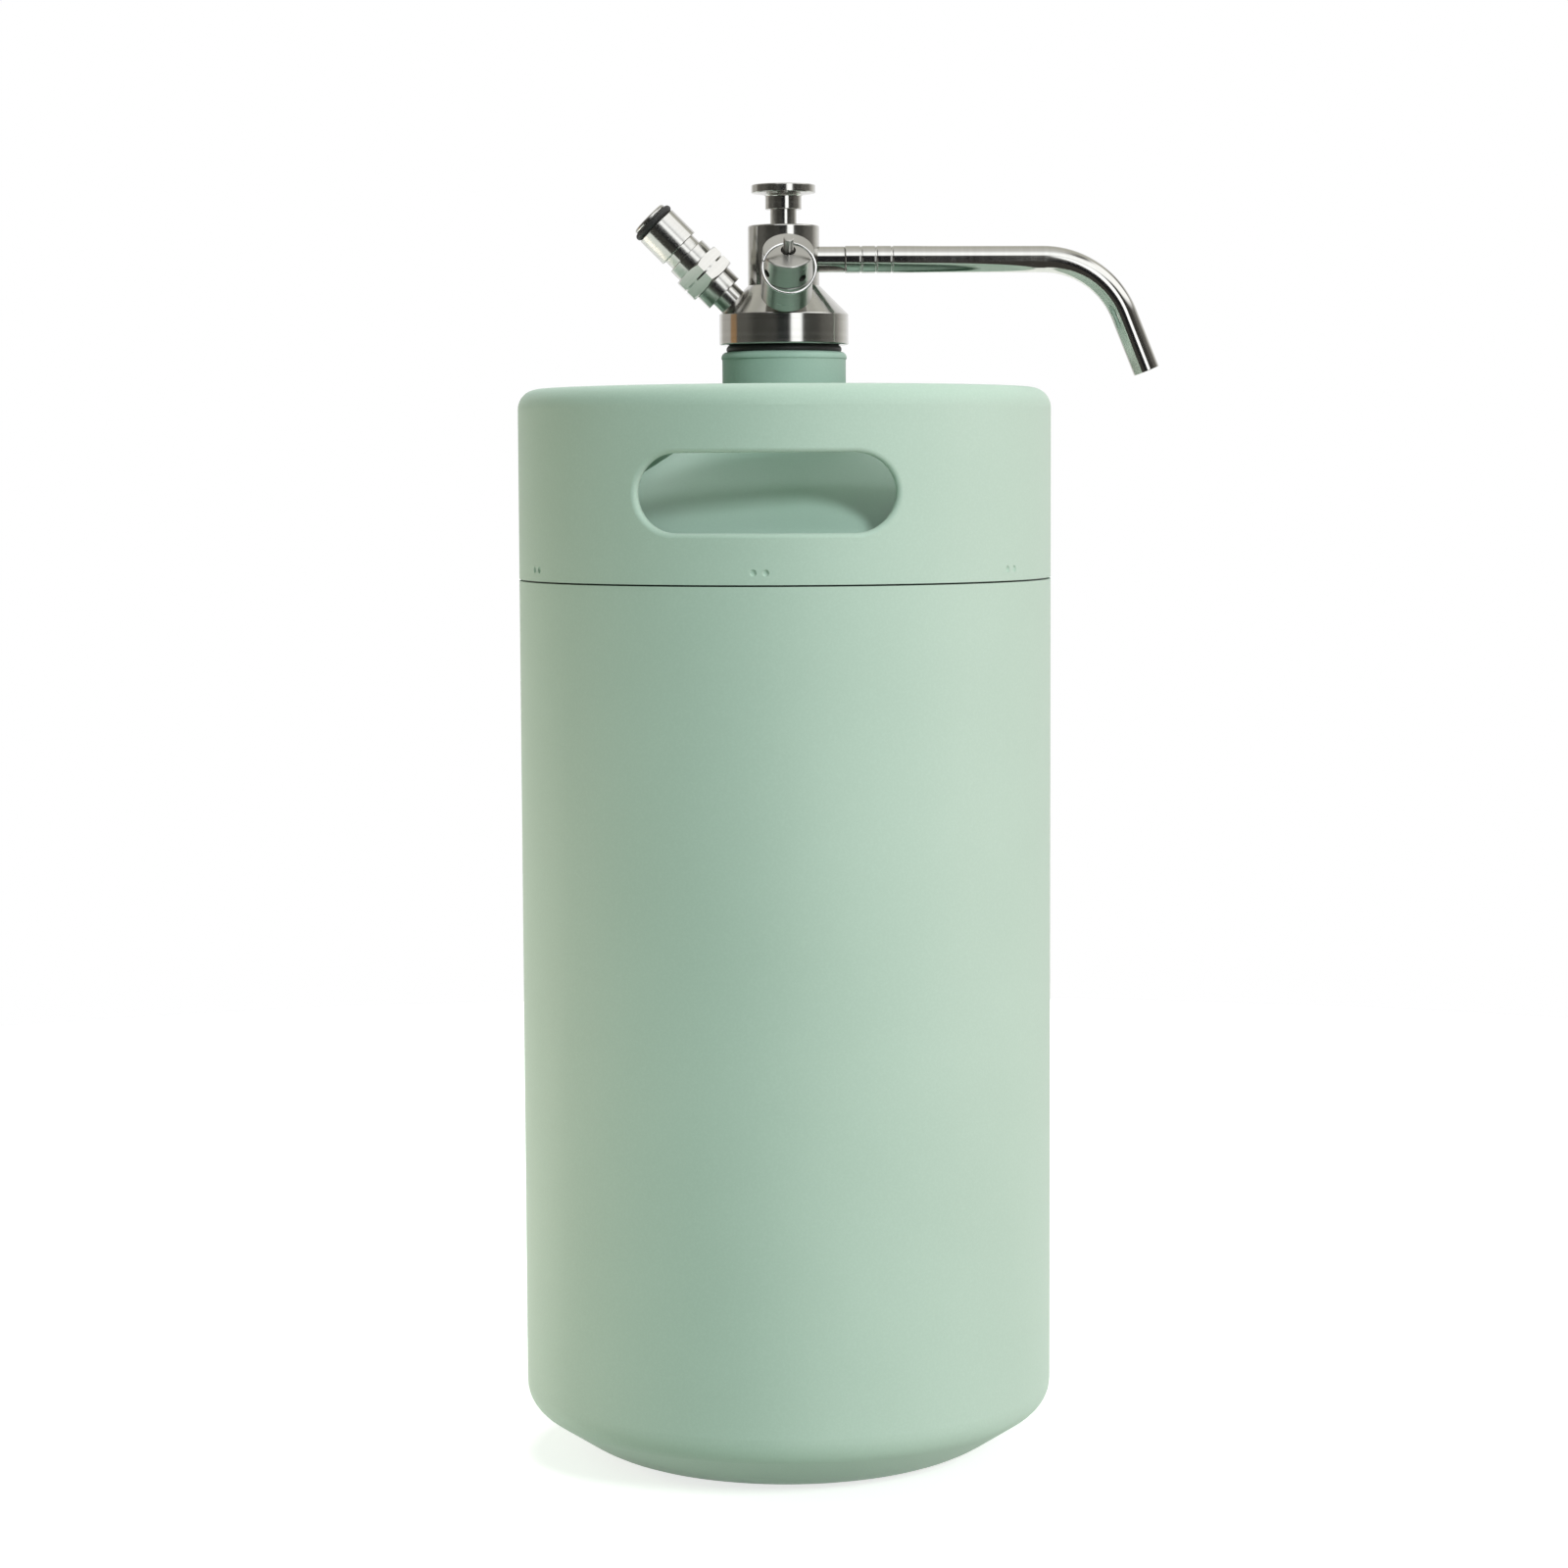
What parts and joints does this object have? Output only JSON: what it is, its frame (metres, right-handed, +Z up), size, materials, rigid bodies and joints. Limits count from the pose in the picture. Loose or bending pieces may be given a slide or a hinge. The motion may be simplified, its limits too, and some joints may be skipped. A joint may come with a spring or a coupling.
{
  "type": "insulated mini keg",
  "caption": "Round double-wall mini keg with hand slots in its collar and a screw-in tap head: push valve, swivel spout, gas post and relief valve.",
  "frame": {"origin": "on the floor under the keg's axis, in the plane of the foot ring", "axes": "+Z up along the keg's axis, -Y the front with a hand slot, +X roughly along the spout"},
  "size_m": [0.2213, 0.184, 0.4401],
  "materials": {
    "green_paint": "matt powder coat",
    "turned_steel": "turned and polished",
    "drawn_steel": "drawn, lightly brushed",
    "wire_steel": "bright wire",
    "black_rubber": "matt"
  },
  "bodies": {
    "keg": {"outer_shell": "green_paint", "base_plate": "drawn_steel", "vacuum_plug": "drawn_steel", "shoulder": "green_paint", "inner_liner": "drawn_steel", "neck_ring": "green_paint", "handle_collar": "green_paint"},
    "gasket": {"neck_gasket": "black_rubber"},
    "tap_head": {"tap_body": "turned_steel", "gland_bush": "turned_steel", "stem_o_ring": "black_rubber", "return_spring": "wire_steel", "dip_tube_holder": "turned_steel", "holder_o_ring": "black_rubber", "dip_tube": "drawn_steel", "outlet_stub": "turned_steel", "spout_o_rings": "black_rubber", "gas_nipple": "turned_steel", "gas_post": "turned_steel", "gas_post_o_ring": "black_rubber", "gas_poppet_spring": "wire_steel", "relief_base": "turned_steel", "relief_cap": "turned_steel", "relief_spring": "wire_steel"},
    "plunger": {"plunger_stem": "turned_steel", "push_knob": "turned_steel", "valve_poppet": "turned_steel", "poppet_seal": "black_rubber"},
    "spout": {"spout_tube": "drawn_steel"},
    "gas_valve": {"gas_poppet": "turned_steel", "gas_poppet_seal": "black_rubber"},
    "relief_valve": {"relief_stem": "turned_steel", "relief_seal": "black_rubber"},
    "pull_ring": {"pull_ring": "wire_steel"}
  },
  "joints": [
    {"name": "head_lift", "type": "slide", "parent": "keg", "child": "gasket", "axis": [0, 0, 1], "range_m": [0, 0.00801]},
    {"name": "head_turn", "type": "hinge", "parent": "gasket", "child": "tap_head", "pos_m": [0, 0, 0.38538], "axis": [0, 0, 1], "range_deg": [0, 1440]},
    {"name": "knob_press", "type": "slide", "parent": "tap_head", "child": "plunger", "axis": [0, 0, -1], "range_m": [0, 0.004], "stiffness_N_per_m": 1500, "springref_m": -0.004, "deforming": ["return_spring"]},
    {"name": "spout_swivel", "type": "hinge", "parent": "tap_head", "child": "spout", "pos_m": [0, 0, 0.41473], "axis": [0.9925, 0.1219, 0], "continuous": true},
    {"name": "gas_poppet_press", "type": "slide", "parent": "tap_head", "child": "gas_valve", "axis": [0.7018, 0.0862, -0.7071], "range_m": [0, 0.003], "stiffness_N_per_m": 800, "springref_m": -0.003, "deforming": ["gas_poppet_spring"]},
    {"name": "relief_pull", "type": "slide", "parent": "tap_head", "child": "relief_valve", "axis": [0.0862, -0.7018, 0.7071], "range_m": [0, 0.002], "stiffness_N_per_m": 2000, "springref_m": -0.003, "deforming": ["relief_spring"]},
    {"name": "pull_ring_swing", "type": "hinge", "parent": "relief_valve", "child": "pull_ring", "pos_m": [0.00434, -0.0353, 0.41815], "axis": [-0.9925, -0.1219, 0], "range_deg": [0, 230]}
  ],
  "couplings": [
    {"joint": "head_lift", "follows": "head_turn", "m_per_rad": 0.00031831}
  ]
}
